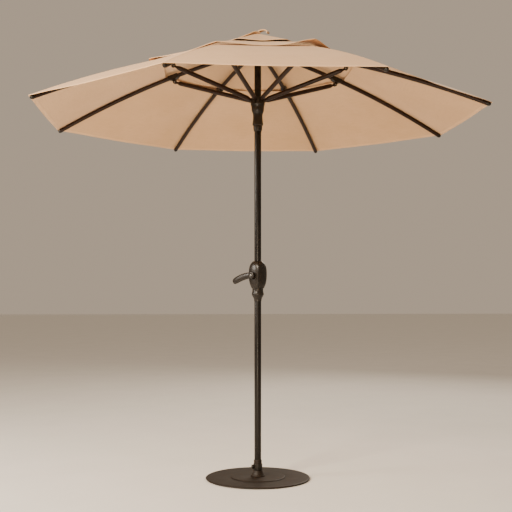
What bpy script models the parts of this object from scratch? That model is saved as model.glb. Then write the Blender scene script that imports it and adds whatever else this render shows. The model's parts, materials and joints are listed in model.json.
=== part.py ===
"""Octagonal patio umbrella with a crank lift, a double-vented canopy and a round steel base.

Metres, +Z up. The origin is in the middle of the base's underside. The canopy is open at rest.
The eight ribs stand at RIB_AZIMUTHS; rib 1 is the front right one.
"""

import math

import bmesh
import bpy
from mathutils import Matrix, Vector

# Overall shape
RIB_COUNT = 8
GORE = 2 * math.pi / RIB_COUNT
FIRST_RIB = math.radians(-67.5)
RIB_AZIMUTHS = [FIRST_RIB + GORE * k for k in range(RIB_COUNT)]
CANOPY_RADIUS = 1.270
GAP = 0.0003

# Linkage: each rib turns on the hub, each strut joins the rib to the runner
PIVOT_RADIUS = 0.032
HUB_PIVOT_Z = 2.385
RUNNER_PIVOT_Z = 2.105
LINK_LENGTH = 0.490
OPEN_ANGLE = math.acos((HUB_PIVOT_Z - RUNNER_PIVOT_Z) / (2 * LINK_LENGTH))
JOINT_X = LINK_LENGTH * math.sin(OPEN_ANGLE)
JOINT_Z = -LINK_LENGTH * math.cos(OPEN_ANGLE)

# Ribs and struts
RIB_REACH = 1.230
RIB_DROP = 0.383
RIB_BOW = 0.042
RIB_TUBE_RADIUS = 0.0115
RIB_WALL = 0.0009
STRUT_TUBE_RADIUS = 0.0125
STRUT_WALL = 0.001
TONGUE_HALF_THICKNESS = 0.0025
TONGUE_HALF_HEIGHT = 0.006
TUBE_SETBACK = 0.023
EYE_RADIUS = 0.0021
RING_WIRE_RADIUS = 0.0015
PIN_RADIUS = 0.0025
PIN_EYE_RADIUS = 0.0029
SLOT_HALF_WIDTH = 0.0031

# Pole
POLE_RADIUS = 0.019
POLE_WALL = 0.0015
POLE_JOINT_Z = 1.028
POLE_TOP_Z = 2.432
POLE_BORE = POLE_RADIUS - POLE_WALL
SLIDE_RADIUS = POLE_RADIUS + 0.0005

# Crank
CRANK_Z = 1.132
CRANK_AZIMUTH = math.radians(-135)
CRANK_OUT = Vector((math.cos(CRANK_AZIMUTH), math.sin(CRANK_AZIMUTH), 0))
SHAFT_RADIUS = 0.005
DRUM_RADIUS = 0.0085
DRUM_FLANGE_RADIUS = 0.013
HANDLE_REACH = 0.137
HANDLE_DROP = 0.038

# Base
FOOT_HEIGHT = 0.003
PLATE_RADIUS = 0.290
PLATE_TOP_Z = 0.011
COVER_RADIUS = 0.1525
COVER_TOP_Z = 0.0155
LOWER_POLE_END_Z = 0.032
KNOB_AZIMUTH = math.radians(200)
KNOB_Z = 0.069

# Canopy
CLOTH = 0.0012
CLOTH_LIFT = RIB_TUBE_RADIUS + 0.0025
VENT_HOLE_RADIUS = 0.560
VENT_EDGE_RADIUS = 0.640
CAP_EDGE_RADIUS = 0.335
CROWN_RADIUS = 0.046
CROWN_JOIN_RADIUS = 0.075
CROWN_RISE = 0.078


# Basic solids ---------------------------------------------------------------------------------


def clear_scene():
    """Remove every object, so that the model starts from nothing."""
    for obj in list(bpy.data.objects):
        bpy.data.objects.remove(obj, do_unlink=True)


def make_material(name, colour, roughness, metallic):
    """A Principled material with one colour."""
    material = bpy.data.materials.new(name)
    material.use_nodes = True
    shader = material.node_tree.nodes["Principled BSDF"]
    shader.inputs["Base Color"].default_value = (*colour, 1)
    shader.inputs["Roughness"].default_value = roughness
    shader.inputs["Metallic"].default_value = metallic
    return material


def mesh_object(name, points, faces):
    """A closed mesh from points and faces, with its normals facing out."""
    mesh = bpy.data.meshes.new(name)
    mesh.from_pydata([tuple(p) for p in points], [], faces)
    work = bmesh.new()
    work.from_mesh(mesh)
    bmesh.ops.recalc_face_normals(work, faces=work.faces)
    work.to_mesh(mesh)
    work.free()
    obj = bpy.data.objects.new(name, mesh)
    bpy.context.scene.collection.objects.link(obj)
    return obj


def loft(name, rings, closed=False):
    """Skin a row of rings that have equal counts of points. An open row is capped at both ends."""
    count = len(rings[0])
    points = [p for ring in rings for p in ring]
    faces = []
    spans = len(rings) if closed else len(rings) - 1
    for k in range(spans):
        here = k * count
        there = (k + 1) % len(rings) * count
        for i in range(count):
            j = (i + 1) % count
            faces.append((here + i, here + j, there + j, there + i))
    if not closed:
        faces.append(tuple(range(count)))
        faces.append(tuple(range(len(points) - count, len(points))))
    return mesh_object(name, points, faces)


def circle(centre, direction, radius, steps):
    """A ring of points around a direction."""
    turn = Vector(direction).to_track_quat("Z", "Y")
    ring = []
    for k in range(steps):
        angle = 2 * math.pi * k / steps
        spoke = Vector((radius * math.cos(angle), radius * math.sin(angle), 0))
        ring.append(Vector(centre) + turn @ spoke)
    return ring


def rod(name, start, end, radius, steps=16):
    """A solid round rod."""
    direction = Vector(end) - Vector(start)
    return loft(name, [circle(p, direction, radius, steps) for p in (start, end)])


def turned(name, profile, steps=24):
    """A solid of revolution about Z. The profile is (radius, z) from bottom to top."""
    return loft(name, [circle((0, 0, z), (0, 0, 1), r, steps) for r, z in profile])


def turned_ring(name, profile, steps=24):
    """A hollow solid of revolution about Z, from a closed (radius, z) outline."""
    rings = []
    for k in range(steps):
        angle = 2 * math.pi * k / steps
        rings.append([(r * math.cos(angle), r * math.sin(angle), z) for r, z in profile])
    return loft(name, rings, closed=True)


def wire_ring(name, radius, z, wire, steps=32, sides=6):
    """A round wire ring that lies flat."""
    outline = []
    for k in range(sides):
        angle = 2 * math.pi * k / sides
        outline.append((radius + wire * math.cos(angle), z + wire * math.sin(angle)))
    return turned_ring(name, outline, steps)


def plate(name, outline, y_low, y_high):
    """An upright plate: an (x, z) outline with its thickness along Y."""
    return loft(name, [[(x, y, z) for x, z in outline] for y in (y_low, y_high)])


def block(name, low, high):
    """A box between two corners."""
    (x0, y0, z0), (x1, y1, z1) = low, high
    return plate(name, [(x0, z0), (x1, z0), (x1, z1), (x0, z1)], y0, y1)


def combine(obj, others, operation):
    """Join or cut obj with the other solids, which are used up."""
    for other in others:
        modifier = obj.modifiers.new("boolean", "BOOLEAN")
        modifier.object = other
        modifier.operation = operation
        modifier.solver = "EXACT"
    bpy.context.view_layer.update()
    seen = obj.evaluated_get(bpy.context.evaluated_depsgraph_get())
    mesh = bpy.data.meshes.new_from_object(seen)
    obj.modifiers.clear()
    obj.data = mesh
    for other in others:
        bpy.data.objects.remove(other, do_unlink=True)
    return obj


def move_mesh(obj, matrix):
    """Move the mesh itself, not the object."""
    obj.data.transform(matrix)
    return obj


def finish(obj, material, sharp_degrees=35):
    """Give the piece its material and smooth shading between sharp edges."""
    obj.data.materials.clear()
    obj.data.materials.append(material)
    obj.data.shade_smooth()
    obj.data.set_sharp_from_angle(angle=math.radians(sharp_degrees))
    obj.name = obj.name.split(".")[0]
    return obj


def set_origin(obj, origin):
    """Put the object's origin on a point, for a piece that turns there."""
    move_mesh(obj, Matrix.Translation(-Vector(origin)))
    obj.location = origin
    return obj


def copies_round(source, name, pivot_radius, pivot_z, material):
    """Copy a piece, made in the X-Z plane about its pivot, to each rib's place."""
    finish(source, material)
    for number, azimuth in enumerate(RIB_AZIMUTHS, start=1):
        copy = bpy.data.objects.new(f"{name}_{number}", source.data)
        bpy.context.scene.collection.objects.link(copy)
        x = pivot_radius * math.cos(azimuth)
        y = pivot_radius * math.sin(azimuth)
        copy.location = (x, y, pivot_z)
        copy.rotation_euler = (0, 0, azimuth)
    bpy.data.objects.remove(source, do_unlink=True)


# Ribs and struts ------------------------------------------------------------------------------


def rib_height(x):
    """Height of the bowed rib's centre line over its pivot, at a distance out from it."""
    share = x / RIB_REACH
    return -RIB_DROP * share + 4 * RIB_BOW * share * (1 - share)


def rib_slope(x):
    """Slope of the rib's centre line."""
    return (-RIB_DROP + 4 * RIB_BOW * (1 - 2 * x / RIB_REACH)) / RIB_REACH


def rib_rings(radius, first_x, last_x, stations, sides=8):
    """Rings of a tube along the rib."""
    rings = []
    for k in range(stations):
        x = first_x + (last_x - first_x) * k / (stations - 1)
        rings.append(circle((x, 0, rib_height(x)), (1, 0, rib_slope(x)), radius, sides))
    return rings


def tongue_outline(length):
    """Outline of a flat end that is round about its eye at the origin and runs along +X."""
    half = TONGUE_HALF_HEIGHT
    outline = [(length, -half), (length, half)]
    for k in range(7):
        angle = math.pi / 2 + math.pi * k / 6
        outline.append((half * math.cos(angle), half * math.sin(angle)))
    return outline


def tongue(name, length, eye_radius):
    """A flat end with its eye, along +X."""
    flat = plate(name, tongue_outline(length), -TONGUE_HALF_THICKNESS, TONGUE_HALF_THICKNESS)
    eye = rod("eye", (0, -0.01, 0), (0, 0.01, 0), eye_radius, 10)
    return combine(flat, [eye], "DIFFERENCE")


def bracket():
    """The moulded joint that clamps round the rib and holds the strut's pin between two ears."""
    half_length, half_width = 0.034, RIB_TUBE_RADIUS + 0.003
    top, bottom = RIB_TUBE_RADIUS - 0.0006, -RIB_TUBE_RADIUS - 0.0045
    body_outline = [
        (-half_length, top - 0.004),
        (-half_length, bottom + 0.006),
        (-half_length + 0.010, bottom),
        (half_length - 0.010, bottom),
        (half_length, bottom + 0.006),
        (half_length, top - 0.004),
        (half_length - 0.005, top),
        (-half_length + 0.005, top),
    ]
    body = plate("bracket", body_outline, -half_width, half_width)
    pin_depth = rib_height(JOINT_X) - JOINT_Z
    ear_radius = 0.0095
    ear_outline = [(0.016, bottom + 0.002), (-0.016, bottom + 0.002)]
    for k in range(7):
        angle = math.pi + math.pi * k / 6
        x = ear_radius * math.cos(angle)
        z = -pin_depth + ear_radius * math.sin(angle)
        ear_outline.append((x, z))
    ears = plate("ears", ear_outline, -0.0085, 0.0085)
    slot = block(
        "slot",
        (-0.030, -SLOT_HALF_WIDTH, -pin_depth - 0.020),
        (0.030, SLOT_HALF_WIDTH, -pin_depth + 0.0085),
    )
    pin = rod("pin", (0, -0.0098, -pin_depth), (0, 0.0098, -pin_depth), PIN_RADIUS, 8)
    combine(body, [ears], "UNION")
    combine(body, [slot], "DIFFERENCE")
    combine(body, [pin], "UNION")
    turn = Matrix.Rotation(-math.atan(rib_slope(JOINT_X)), 4, "Y")
    lean = Matrix.Translation((JOINT_X, 0, rib_height(JOINT_X))) @ turn
    # Turning the bracket swings its pin along the rib, so it is set back by that much
    back = pin_depth * math.sin(math.atan(rib_slope(JOINT_X)))
    drop = pin_depth * (1 - math.cos(math.atan(rib_slope(JOINT_X))))
    return move_mesh(body, Matrix.Translation((-back, 0, -drop)) @ lean)


def build_ribs(material):
    """Eight bowed tubes, each with its flat hub end and its strut bracket."""
    rings = rib_rings(RIB_TUBE_RADIUS, TUBE_SETBACK, RIB_REACH, 9)
    rib = loft("rib", rings)
    flat = tongue("rib_end", TUBE_SETBACK + 0.012, EYE_RADIUS)
    move_mesh(flat, Matrix.Rotation(-math.atan(rib_slope(0)), 4, "Y"))
    combine(rib, [bracket(), flat], "UNION")
    bore_rings = rib_rings(RIB_TUBE_RADIUS - RIB_WALL, TUBE_SETBACK + 0.014, RIB_REACH + 0.010, 9)
    combine(rib, [loft("bore", bore_rings)], "DIFFERENCE")
    copies_round(rib, "rib", PIVOT_RADIUS, HUB_PIVOT_Z, material)


def build_struts(material):
    """Eight straight tubes with a flat end at the rib's pin and another at the runner's ring."""
    tube_start, tube_end = TUBE_SETBACK + 0.001, LINK_LENGTH - TUBE_SETBACK
    strut = rod("strut", (tube_start, 0, 0), (tube_end, 0, 0), STRUT_TUBE_RADIUS, 10)
    outer = tongue("outer_end", tube_start + 0.012, PIN_EYE_RADIUS)
    inner = tongue("inner_end", TUBE_SETBACK + 0.012, EYE_RADIUS)
    move_mesh(inner, Matrix.Translation((LINK_LENGTH, 0, 0)) @ Matrix.Rotation(math.pi, 4, "Z"))
    combine(strut, [outer, inner], "UNION")
    bore_ends = ((tube_start + 0.014, 0, 0), (tube_end - 0.014, 0, 0))
    bore = rod("bore", *bore_ends, STRUT_TUBE_RADIUS - STRUT_WALL, 10)
    drain_x = tube_end - 0.030
    drain = rod("drain", (drain_x, 0, 0), (drain_x, 0, 0.02), 0.002, 6)
    combine(strut, [bore], "DIFFERENCE")
    combine(strut, [drain], "DIFFERENCE")
    # The strut is made along +X; it runs in and down from its pin, so it is turned over
    move_mesh(strut, Matrix.Rotation(math.pi / 2 + OPEN_ANGLE, 4, "Y"))
    pin_radius = PIVOT_RADIUS + JOINT_X
    copies_round(strut, "strut", pin_radius, HUB_PIVOT_Z + JOINT_Z, material)


# Hub and runner -------------------------------------------------------------------------------


def rib_slots(z_low, z_high, inner_radius, outer_radius=0.06):
    """Eight radial cutters, one for each rib or strut end."""
    slots = []
    for azimuth in RIB_AZIMUTHS:
        slot = block(
            "slot",
            (inner_radius, -SLOT_HALF_WIDTH, z_low),
            (outer_radius, SLOT_HALF_WIDTH, z_high),
        )
        slots.append(move_mesh(slot, Matrix.Rotation(azimuth, 4, "Z")))
    return slots


def head_profile(pivot_z, outer_radius, top, bottom):
    """Outline of a slotted head with a groove from its top, in which the pivot ring lies."""
    groove = RING_WIRE_RADIUS + 0.0003
    return [
        (SLIDE_RADIUS, bottom),
        (outer_radius, bottom),
        (outer_radius, top - 0.002),
        (outer_radius - 0.002, top),
        (PIVOT_RADIUS + groove, top),
        (PIVOT_RADIUS + groove, pivot_z - groove),
        (PIVOT_RADIUS - groove, pivot_z - groove),
        (PIVOT_RADIUS - groove, top),
        (SLIDE_RADIUS, top),
    ]


def build_hub(plastic, steel, cord):
    """The slotted hub on the pole's top, its ring, its cover, and the pulley for the lift cord."""
    top, bottom = HUB_PIVOT_Z + 0.015, HUB_PIVOT_Z - 0.015
    hub = turned_ring("top_hub", head_profile(HUB_PIVOT_Z, 0.040, top, bottom), 32)
    combine(hub, rib_slots(bottom - 0.01, top + 0.01, 0.0255), "DIFFERENCE")
    finish(hub, plastic)
    finish(wire_ring("hub_ring", PIVOT_RADIUS, HUB_PIVOT_Z, RING_WIRE_RADIUS), steel)

    cover_profile = [
        (0.0355, top + GAP),
        (0.0380, top + GAP),
        (0.0375, top + 0.016),
        (0.0320, top + 0.040),
        (0.0240, top + 0.056),
        (0.0080, top + 0.063),
        (0.0080, top + 0.060),
        (0.0225, top + 0.0535),
        (0.0300, top + 0.038),
        (0.0350, top + 0.015),
    ]
    finish(turned_ring("hub_cover", cover_profile), plastic)
    crown_z = top + 0.063 + GAP
    cap_profile = [
        (0.0075, crown_z - 0.012),
        (0.0075, crown_z),
        (0.0340, crown_z),
        (0.0345, crown_z + 0.0025),
        (0.0300, crown_z + 0.0060),
        (0.0120, crown_z + 0.0085),
    ]
    finish(turned("crown_cap", cap_profile), plastic)

    pulley_z = HUB_PIVOT_Z + 0.027
    along = Vector((-CRANK_OUT.y, CRANK_OUT.x, 0))
    wheel_profile = [
        (0.0030, -0.0040),
        (0.0110, -0.0040),
        (0.0110, -0.0026),
        (0.0088, -0.0014),
        (0.0088, 0.0014),
        (0.0110, 0.0026),
        (0.0110, 0.0040),
        (0.0030, 0.0040),
    ]
    turn = along.to_track_quat("Z", "Y").to_matrix().to_4x4()
    pulley = turned_ring("pulley", wheel_profile, 24)
    move_mesh(pulley, turn)
    pulley.location = (0, 0, pulley_z)
    finish(pulley, plastic)
    axle = rod("pulley_axle", along * -0.0225, along * 0.0225, 0.0027, 12)
    axle.location = (0, 0, pulley_z)
    finish(axle, steel)

    # The cord leaves the side of the drum and meets the back of the pulley
    cord_low = along * 0.0103 + Vector((0, 0, CRANK_Z))
    cord_high = CRANK_OUT * -0.0112 + Vector((0, 0, pulley_z))
    finish(rod("lift_cord", cord_low, cord_high, 0.0015, 8), cord)
    return crown_z + 0.0085


def build_runner(plastic, steel):
    """The runner that slides on the pole and spreads the struts."""
    top, bottom = RUNNER_PIVOT_Z + 0.015, RUNNER_PIVOT_Z - 0.1385
    profile = [
        (SLIDE_RADIUS, bottom),
        (0.0275, bottom),
        (0.0303, bottom + 0.003),
        (0.0298, bottom + 0.012),
        (0.0270, bottom + 0.040),
        (0.0272, bottom + 0.064),
        (0.0335, bottom + 0.079),
        (0.0350, bottom + 0.092),
        (0.0362, bottom + 0.106),
        (0.0395, bottom + 0.116),
        *head_profile(RUNNER_PIVOT_Z, 0.0395, top, bottom)[2:],
    ]
    runner = turned_ring("runner_body", profile, 32)
    slots = rib_slots(RUNNER_PIVOT_Z - 0.0140, top + 0.01, 0.0255)
    finish(combine(runner, slots, "DIFFERENCE"), plastic)
    finish(wire_ring("runner_ring", PIVOT_RADIUS, RUNNER_PIVOT_Z, RING_WIRE_RADIUS), steel)
    sleeve_top = bottom - GAP
    sleeve_profile = [
        (SLIDE_RADIUS, sleeve_top - 0.032),
        (0.0215, sleeve_top - 0.032),
        (0.0232, sleeve_top - 0.027),
        (0.0250, sleeve_top - 0.014),
        (0.0250, sleeve_top),
        (SLIDE_RADIUS, sleeve_top),
    ]
    finish(turned_ring("runner_sleeve", sleeve_profile), plastic)


# Pole -----------------------------------------------------------------------------------------


def tube_profile(inner, outer, low, high):
    """Outline of a plain tube's wall."""
    return [(inner, low), (outer, low), (outer, high), (inner, high)]


def build_pole(metal, plastic):
    """Two pole tubes, the spigot inside their joint and the collar outside it."""
    lower = tube_profile(POLE_BORE, POLE_RADIUS, LOWER_POLE_END_Z, POLE_JOINT_Z)
    finish(turned_ring("lower_pole", lower), metal)
    upper = tube_profile(POLE_BORE, POLE_RADIUS, POLE_JOINT_Z + 0.0005, POLE_TOP_Z)
    pole = turned_ring("upper_pole", upper)
    shaft_hole = rod(
        "shaft_hole",
        CRANK_OUT * -0.03 + Vector((0, 0, CRANK_Z)),
        CRANK_OUT * 0.03 + Vector((0, 0, CRANK_Z)),
        SHAFT_RADIUS + 0.0005,
    )
    window = block("window", (0.010, -0.0140, CRANK_Z - 0.018), (0.030, 0.0140, CRANK_Z + 0.018))
    move_mesh(window, Matrix.Rotation(CRANK_AZIMUTH, 4, "Z"))
    along = Vector((-CRANK_OUT.y, CRANK_OUT.x, 0))
    pulley_z = Vector((0, 0, HUB_PIVOT_Z + 0.027))
    axle_hole = rod("axle_hole", along * -0.03 + pulley_z, along * 0.03 + pulley_z, 0.003)
    finish(combine(pole, [shaft_hole, window, axle_hole], "DIFFERENCE"), metal)

    spigot = tube_profile(0.0155, POLE_BORE - GAP, POLE_JOINT_Z - 0.060, POLE_JOINT_Z + 0.050)
    finish(turned_ring("pole_spigot", spigot), metal)
    collar_inner = POLE_RADIUS + GAP
    collar = [
        (collar_inner, 0.988),
        (0.0205, 0.988),
        (0.0212, 0.999),
        (0.0285, 1.013),
        (0.0330, 1.022),
        (0.0336, 1.029),
        (0.0312, 1.040),
        (0.0302, 1.0495),
        (0.0305, 1.0600),
        (collar_inner, 1.0600),
    ]
    finish(turned_ring("pole_coupling", collar), plastic)


# Crank ----------------------------------------------------------------------------------------


def ridged_ring(half_width, z, roundness, steps=24):
    """A ring with soft ridges at the front, back and sides: 2 is round, and 1 a diamond."""
    ring = []
    for k in range(steps):
        angle = 2 * math.pi * k / steps
        c, s = math.cos(angle), math.sin(angle)
        reach = (abs(c) ** roundness + abs(s) ** roundness) ** (-1 / roundness)
        ring.append((half_width * reach * c, half_width * reach * s, z))
    return ring


def build_housing(plastic):
    """Two half shells round the winch, which meet along the front and back ridges."""
    outer = [
        (0.0225, 1.2120, 2.0),
        (0.0330, 1.2040, 1.8),
        (0.0430, 1.1885, 1.5),
        (0.0490, 1.1700, 1.35),
        (0.0502, 1.1500, 1.3),
        (0.0500, 1.1250, 1.3),
        (0.0482, 1.1020, 1.35),
        (0.0430, 1.0810, 1.5),
        (0.0365, 1.0655, 1.7),
        (0.0350, 1.0605, 1.8),
    ]
    bore = POLE_RADIUS + GAP
    inner = [
        (bore, 1.0605, 2.0),
        (bore, 1.0640, 2.0),
        (0.0325, 1.0680, 1.7),
        (0.0395, 1.0830, 1.5),
        (0.0448, 1.1030, 1.35),
        (0.0466, 1.1250, 1.3),
        (0.0468, 1.1500, 1.3),
        (0.0455, 1.1690, 1.35),
        (0.0395, 1.1860, 1.5),
        (0.0290, 1.2000, 1.8),
        (bore, 1.2070, 2.0),
        (bore, 1.2120, 2.0),
    ]
    rings = [ridged_ring(width, z, roundness) for width, z, roundness in outer + inner]
    big = 0.2
    for name, side in (("crank_housing_left", -1), ("crank_housing_right", 1)):
        shell = loft(name, rings, closed=True)
        low_x, high_x = sorted((side * 0.00015, side * big))
        half = block("half", (low_x, -big, 1.0), (high_x, big, 1.3))
        combine(shell, [half], "INTERSECT")
        if side < 0:
            centre = Vector((0, 0, CRANK_Z))
            ends = (centre + CRANK_OUT * 0.030, centre + CRANK_OUT * 0.060)
            combine(shell, [rod("bearing", *ends, SHAFT_RADIUS + 0.0005)], "DIFFERENCE")
        finish(shell, plastic, 50)


def place_on_crank(obj):
    """Stand a piece that was made about Z with its foot at the origin along the crank's shaft."""
    turn = Matrix.Rotation(CRANK_AZIMUTH, 4, "Z") @ Matrix.Rotation(math.pi / 2, 4, "Y")
    move_mesh(obj, turn)
    obj.location = (0, 0, CRANK_Z)
    return obj


def build_crank(metal, plastic, steel):
    """The drum with its shaft, the curved handle with its screw, and the brake spring."""
    drum_profile = [
        (SHAFT_RADIUS, -0.0240),
        (SHAFT_RADIUS, -0.0110),
        (DRUM_FLANGE_RADIUS, -0.0105),
        (DRUM_FLANGE_RADIUS, -0.0090),
        (DRUM_RADIUS, -0.0085),
        (DRUM_RADIUS, 0.0085),
        (DRUM_FLANGE_RADIUS, 0.0090),
        (DRUM_FLANGE_RADIUS, 0.0105),
        (SHAFT_RADIUS, 0.0110),
        (SHAFT_RADIUS, 0.0510),
    ]
    finish(place_on_crank(turned("crank_drum", drum_profile, 24)), steel)

    boss = [
        (0.0170, 0.0440),
        (0.0195, 0.0465),
        (0.0195, 0.0570),
        (0.0170, 0.0600),
    ]
    handle = turned("crank_handle", boss, 24)
    to_crank = Matrix.Rotation(CRANK_AZIMUTH, 4, "Z") @ Matrix.Rotation(math.pi / 2, 4, "Y")
    move_mesh(handle, to_crank)
    sideways = Vector((CRANK_OUT.y, -CRANK_OUT.x, 0))
    # Lever sections: share of the reach, half width across the lever and half thickness
    sections = [
        (0.00, 0.0165, 0.0060),
        (0.15, 0.0176, 0.0068),
        (0.40, 0.0186, 0.0082),
        (0.65, 0.0190, 0.0092),
        (0.85, 0.0180, 0.0092),
        (0.95, 0.0150, 0.0080),
        (1.00, 0.0085, 0.0050),
    ]
    middle = 0.0520
    bend = 1.9
    rings = []
    for share, half_width, half_thickness in sections:
        slope = -bend * HANDLE_DROP / HANDLE_REACH * share ** (bend - 1)
        path = sideways * HANDLE_REACH * share
        path.z = -HANDLE_DROP * share**bend
        across = Vector((0, 0, 1)) - sideways * slope
        across.normalize()
        ring = []
        for k in range(12):
            angle = 2 * math.pi * k / 12
            offset = across * half_width * math.cos(angle)
            offset += CRANK_OUT * half_thickness * math.sin(angle)
            ring.append(CRANK_OUT * middle + path + offset)
        rings.append(ring)
    combine(handle, [loft("lever", rings)], "UNION")
    bore = rod("bore", CRANK_OUT * 0.040, CRANK_OUT * 0.0515, SHAFT_RADIUS + GAP)
    screw_hole = rod("screw_hole", CRANK_OUT * 0.050, CRANK_OUT * 0.070, 0.0033)
    head_seat = rod("head_seat", CRANK_OUT * 0.0575, CRANK_OUT * 0.070, 0.0066)
    combine(handle, [bore, screw_hole], "DIFFERENCE")
    combine(handle, [head_seat], "DIFFERENCE")
    handle.location = (0, 0, CRANK_Z)
    finish(handle, plastic, 40)

    screw_profile = [
        (0.0030, 0.0513),
        (0.0030, 0.0578),
        (0.0062, 0.0578),
        (0.0062, 0.0598),
        (0.0045, 0.0612),
    ]
    finish(place_on_crank(turned("handle_screw", screw_profile, 16)), steel)

    turns, wire, mean_radius = 3, 0.0012, 0.0078
    first, last = 0.0225, 0.0370
    steps = turns * 12
    coil = []
    for k in range(steps + 1):
        angle = 2 * math.pi * turns * k / steps
        along = first + (last - first) * k / steps
        coil.append(Vector((mean_radius * math.cos(angle), mean_radius * math.sin(angle), along)))
    rings = []
    for k, centre in enumerate(coil):
        ahead, behind = coil[min(k + 1, steps)], coil[max(k - 1, 0)]
        rings.append(circle(centre, ahead - behind, wire, 6))
    finish(place_on_crank(loft("brake_spring", rings)), steel)


# Base -----------------------------------------------------------------------------------------


def build_base(metal, plastic, rubber, steel):
    """The heavy plate with its foot ring, cover, stem, collar, knob and bolt."""
    foot = tube_profile(0.235, 0.270, 0, FOOT_HEIGHT - GAP)
    finish(turned_ring("foot_ring", foot, 40), rubber)
    plate_profile = [
        (0.0064, 0.0078),
        (0.0110, 0.0076),
        (0.0110, FOOT_HEIGHT),
        (PLATE_RADIUS - 0.003, FOOT_HEIGHT),
        (PLATE_RADIUS, FOOT_HEIGHT + 0.0025),
        (PLATE_RADIUS, PLATE_TOP_Z - 0.0035),
        (PLATE_RADIUS - 0.003, PLATE_TOP_Z - 0.0006),
        (PLATE_RADIUS - 0.010, PLATE_TOP_Z),
        (0.0064, PLATE_TOP_Z),
    ]
    finish(turned_ring("base_plate", plate_profile, 44), metal)
    cover_profile = [
        (0.0064, PLATE_TOP_Z + GAP),
        (COVER_RADIUS, PLATE_TOP_Z + GAP),
        (COVER_RADIUS, PLATE_TOP_Z + 0.002),
        (COVER_RADIUS - 0.004, COVER_TOP_Z),
        (0.0064, COVER_TOP_Z),
    ]
    finish(turned_ring("base_cover", cover_profile, 40), metal)

    stem_bottom = COVER_TOP_Z + GAP
    bore = POLE_RADIUS + GAP
    stem_profile = [
        (0.0062, stem_bottom),
        (0.0400, stem_bottom),
        (0.0400, stem_bottom + 0.003),
        (0.0345, stem_bottom + 0.010),
        (0.0290, stem_bottom + 0.020),
        (0.0256, stem_bottom + 0.0325),
        (0.0222, stem_bottom + 0.0330),
        (0.0222, 0.1020),
        (0.0210, 0.1060),
        (bore, 0.1060),
        (bore, LOWER_POLE_END_Z - GAP),
        (0.0062, LOWER_POLE_END_Z - GAP),
    ]
    stem = turned_ring("base_stem", stem_profile)
    knob_out = Vector((math.cos(KNOB_AZIMUTH), math.sin(KNOB_AZIMUTH), 0))
    centre = Vector((0, 0, KNOB_Z))
    hole_ends = (centre + knob_out * 0.015, centre + knob_out * 0.040)
    combine(stem, [rod("knob_hole", *hole_ends, 0.0034, 12)], "DIFFERENCE")
    finish(stem, metal)
    collar_profile = [
        (0.0222 + GAP, 0.0490),
        (0.0246, 0.0490),
        (0.0256, 0.0505),
        (0.0256, 0.0815),
        (0.0246, 0.0830),
        (0.0222 + GAP, 0.0830),
    ]
    collar = turned_ring("stem_collar", collar_profile)
    combine(collar, [rod("knob_hole", *hole_ends, 0.0034, 12)], "DIFFERENCE")
    finish(collar, plastic)

    # Knob sections: distance out, radius, and share of the lobes' depth
    sections = [
        (0.0262, 0.0095, 0),
        (0.0280, 0.0112, 1),
        (0.0350, 0.0112, 1),
        (0.0368, 0.0090, 0),
    ]
    lobes, steps = 6, 36
    rings = []
    for out, radius, depth in sections:
        ring = []
        for k in range(steps):
            angle = 2 * math.pi * k / steps
            reach = radius + depth * 0.0008 * math.cos(lobes * angle)
            ring.append((reach * math.cos(angle), reach * math.sin(angle), out))
        rings.append(ring)
    knob = loft("lock_knob", rings)
    combine(knob, [rod("stud", (0, 0, POLE_RADIUS + GAP), (0, 0, 0.030), 0.0030, 12)], "UNION")
    move_mesh(knob, Matrix.Rotation(KNOB_AZIMUTH, 4, "Z") @ Matrix.Rotation(math.pi / 2, 4, "Y"))
    knob.location = centre
    finish(knob, plastic, 50)

    bolt_profile = [
        (0.0095, 0.0036),
        (0.0100, 0.0042),
        (0.0100, 0.0073),
        (0.0058, 0.0073),
        (0.0058, LOWER_POLE_END_Z - 0.001),
    ]
    finish(turned("stem_bolt", bolt_profile, 16), steel)


# Canopy ---------------------------------------------------------------------------------------


def cloth_sector(name, outline, material):
    """One rib's share of the cloth, from the middle of one gore to the middle of the next.

    The outline is (radius, z) over the rib, and it spreads level to both sides.
    """
    half = GORE / 2
    inset = 0.0004
    for number, azimuth in enumerate(RIB_AZIMUTHS, start=1):
        rings = []
        for side in (-1, 0, 1):
            direction = azimuth + side * half
            out = Vector((math.cos(direction), math.sin(direction), 0))
            across = Vector((-out.y, out.x, 0)) * -side * inset
            shrink = math.cos(half) if side else 1
            rings.append([out * r * shrink + across + Vector((0, 0, z)) for r, z in outline])
        sector = loft(f"{name}_{number}", rings)
        pivot = (PIVOT_RADIUS * math.cos(azimuth), PIVOT_RADIUS * math.sin(azimuth), HUB_PIVOT_Z)
        finish(set_origin(sector, pivot), material)


def canopy_height(radius):
    """Height of the main cloth's underside over a rib."""
    return HUB_PIVOT_Z + rib_height(radius - PIVOT_RADIUS) + CLOTH_LIFT


def spread(low, high, count):
    """Evenly spaced values from low to high."""
    return [low + (high - low) * k / (count - 1) for k in range(count)]


def vent_height(radius):
    """Height of the vent flap's underside: it clears the main cloth and peaks at the crown."""
    edge = canopy_height(VENT_EDGE_RADIUS) + 0.012
    share = (VENT_EDGE_RADIUS - radius) / (VENT_EDGE_RADIUS - CROWN_RADIUS)
    rise = HUB_PIVOT_Z + 0.025 - edge
    return edge + rise * share * (1.35 - 0.35 * share) + 0.045 * share**8


def cap_height(radius):
    """Height of the top cap's underside."""
    share = (CAP_EDGE_RADIUS - radius) / (CAP_EDGE_RADIUS - CROWN_RADIUS)
    return HUB_PIVOT_Z - 0.023 + (CROWN_RISE + 0.023) * share


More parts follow.
